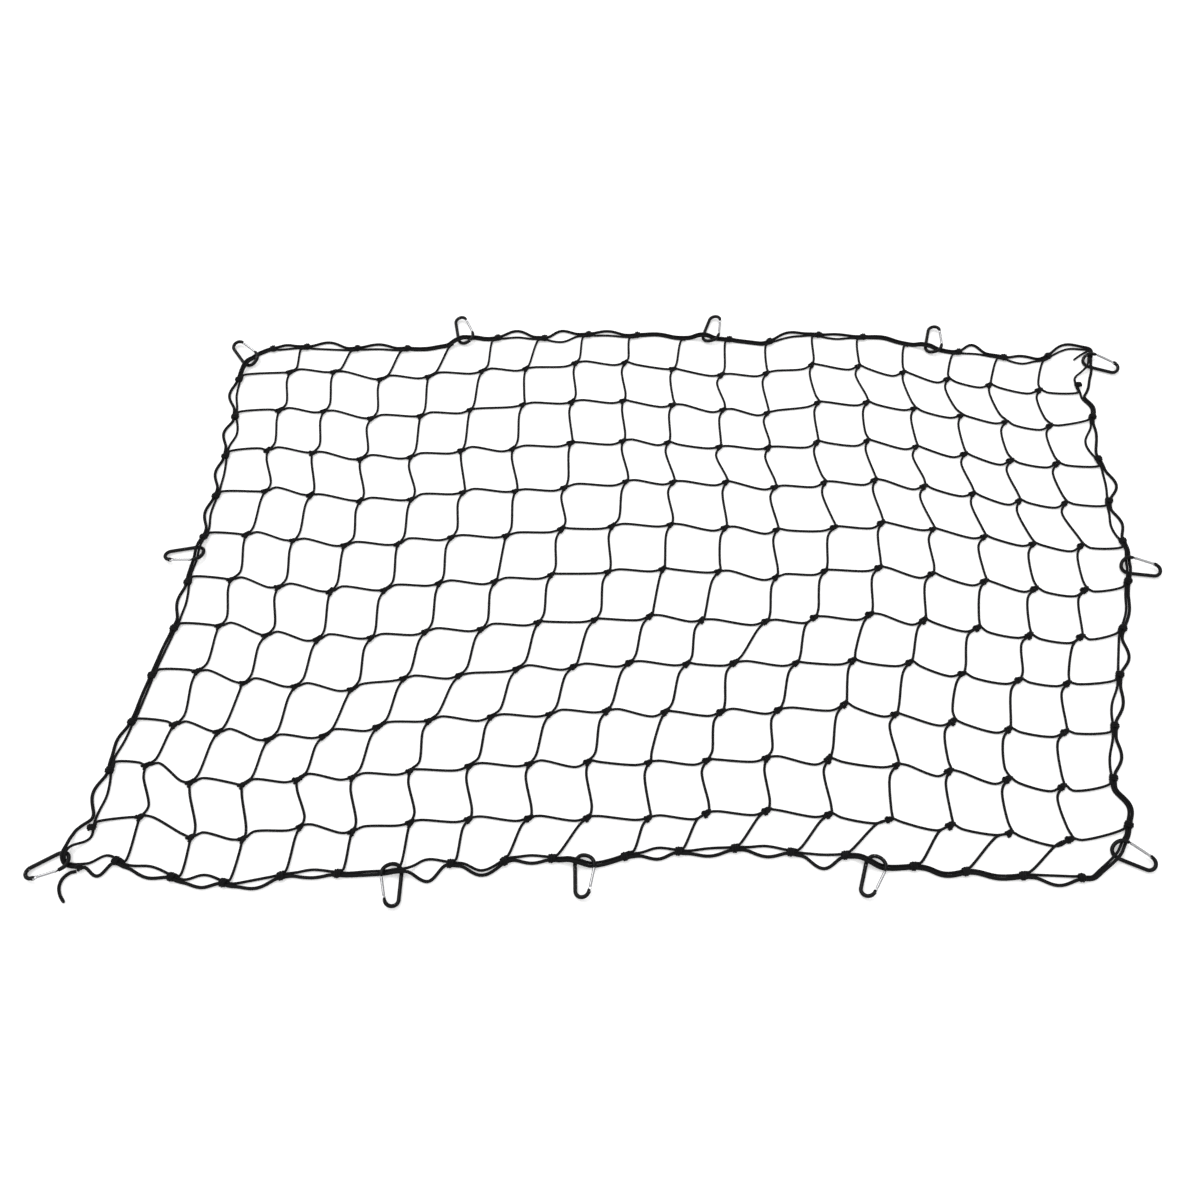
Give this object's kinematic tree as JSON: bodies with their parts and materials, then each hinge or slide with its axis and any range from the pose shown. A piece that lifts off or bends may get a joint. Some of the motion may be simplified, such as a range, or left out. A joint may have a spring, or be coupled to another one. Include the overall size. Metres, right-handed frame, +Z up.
{
  "type": "cargo net",
  "caption": "Rectangular net of knotted black cord lying spread out flat, with a border cord hitched round its edge and spring-gate snap clips hooked over the border.",
  "frame": {"origin": "on the ground, at the middle of the lying net's overall length and width, clips included", "axes": "+X along the net's long side, to the right in the picture; +Y along its short side, away from the camera; +Z up"},
  "size_m": [2.0626, 1.3225, 0.0159],
  "materials": {
    "net_cord": "black braided cord, dull",
    "border_cord": "black braided cord, dull",
    "clip_rod": "black anodised, satin",
    "clip_gate": "bare, satin"
  },
  "bodies": {
    "net_and_clips": {"net": "net_cord", "border_cord": "border_cord", "border_tie_knot": "border_cord", "border_tail": "border_cord", "net_tail": "net_cord", "clip_far_1": "clip_rod", "clip_far_2": "clip_rod", "clip_far_3": "clip_rod", "clip_far_left": "clip_rod", "clip_left": "clip_rod", "clip_right": "clip_rod", "clip_far_right": "clip_rod", "clip_near_right": "clip_rod", "clip_near_1": "clip_rod", "clip_near_2": "clip_rod", "clip_near_3": "clip_rod", "clip_near_left": "clip_rod"},
    "gate_far_1_body": {"gate_far_1": "clip_gate"},
    "gate_far_2_body": {"gate_far_2": "clip_gate"},
    "gate_far_3_body": {"gate_far_3": "clip_gate"},
    "gate_far_left_body": {"gate_far_left": "clip_gate"},
    "gate_left_body": {"gate_left": "clip_gate"},
    "gate_right_body": {"gate_right": "clip_gate"},
    "gate_far_right_body": {"gate_far_right": "clip_gate"},
    "gate_near_right_body": {"gate_near_right": "clip_gate"},
    "gate_near_1_body": {"gate_near_1": "clip_gate"},
    "gate_near_2_body": {"gate_near_2": "clip_gate"},
    "gate_near_3_body": {"gate_near_3": "clip_gate"},
    "gate_near_left_body": {"gate_near_left": "clip_gate"}
  },
  "joints": [
    {"name": "gate_far_1_hinge", "type": "hinge", "parent": "net_and_clips", "child": "gate_far_1_body", "pos_m": [-0.35757, 0.64708, 0.01027], "axis": [0.2241, 0.0654, -0.9724], "range_deg": [0, 25], "stiffness_Nm_per_rad": 0.02, "springref_deg": -34.38},
    {"name": "gate_far_2_hinge", "type": "hinge", "parent": "net_and_clips", "child": "gate_far_2_body", "pos_m": [0.19328, 0.64502, 0.01027], "axis": [0.2272, -0.0538, -0.9724], "range_deg": [0, 25], "stiffness_Nm_per_rad": 0.02, "springref_deg": -34.38},
    {"name": "gate_far_3_hinge", "type": "hinge", "parent": "net_and_clips", "child": "gate_far_3_body", "pos_m": [0.66542, 0.61568, 0.01027], "axis": [0.2308, -0.0348, -0.9724], "range_deg": [0, 25], "stiffness_Nm_per_rad": 0.02, "springref_deg": -34.38},
    {"name": "gate_far_left_hinge", "type": "hinge", "parent": "net_and_clips", "child": "gate_far_left_body", "pos_m": [-0.83227, 0.58064, 0.01027], "axis": [0.1757, 0.1537, -0.9724], "range_deg": [0, 25], "stiffness_Nm_per_rad": 0.02, "springref_deg": -34.38},
    {"name": "gate_left_hinge", "type": "hinge", "parent": "net_and_clips", "child": "gate_left_body", "pos_m": [-0.89194, 0.02458, 0.01027], "axis": [-0.0244, 0.2322, 0.9724], "range_deg": [0, 25], "stiffness_Nm_per_rad": 0.02, "springref_deg": -34.38},
    {"name": "gate_right_hinge", "type": "hinge", "parent": "net_and_clips", "child": "gate_right_body", "pos_m": [0.99552, 0.01397, 0.01027], "axis": [-0.0575, -0.2262, 0.9724], "range_deg": [0, 25], "stiffness_Nm_per_rad": 0.02, "springref_deg": -34.38},
    {"name": "gate_far_right_hinge", "type": "hinge", "parent": "net_and_clips", "child": "gate_far_right_body", "pos_m": [1.02286, 0.52348, 0.01027], "axis": [-0.1049, -0.2086, 0.9724], "range_deg": [0, 25], "stiffness_Nm_per_rad": 0.02, "springref_deg": -34.38},
    {"name": "gate_near_right_hinge", "type": "hinge", "parent": "net_and_clips", "child": "gate_near_right_body", "pos_m": [0.85943, -0.57239, 0.01027], "axis": [-0.1213, -0.1995, 0.9724], "range_deg": [0, 25], "stiffness_Nm_per_rad": 0.02, "springref_deg": -34.38},
    {"name": "gate_near_1_hinge", "type": "hinge", "parent": "net_and_clips", "child": "gate_near_1_body", "pos_m": [-0.42365, -0.64579, 0.01027], "axis": [-0.2326, -0.0202, -0.9724], "range_deg": [0, 25], "stiffness_Nm_per_rad": 0.02, "springref_deg": -34.38},
    {"name": "gate_near_2_hinge", "type": "hinge", "parent": "net_and_clips", "child": "gate_near_2_body", "pos_m": [-0.08507, -0.63049, 0.01027], "axis": [-0.2326, 0.0204, 0.9724], "range_deg": [0, 25], "stiffness_Nm_per_rad": 0.02, "springref_deg": -34.38},
    {"name": "gate_near_3_hinge", "type": "hinge", "parent": "net_and_clips", "child": "gate_near_3_body", "pos_m": [0.38856, -0.63252, 0.01027], "axis": [-0.2146, 0.092, 0.9724], "range_deg": [0, 25], "stiffness_Nm_per_rad": 0.02, "springref_deg": -34.38},
    {"name": "gate_near_left_hinge", "type": "hinge", "parent": "net_and_clips", "child": "gate_near_left_body", "pos_m": [-1.01071, -0.60955, 0.01076], "axis": [-0.1078, 0.226, 0.9681], "range_deg": [0, 25], "stiffness_Nm_per_rad": 0.02, "springref_deg": -34.38}
  ]
}
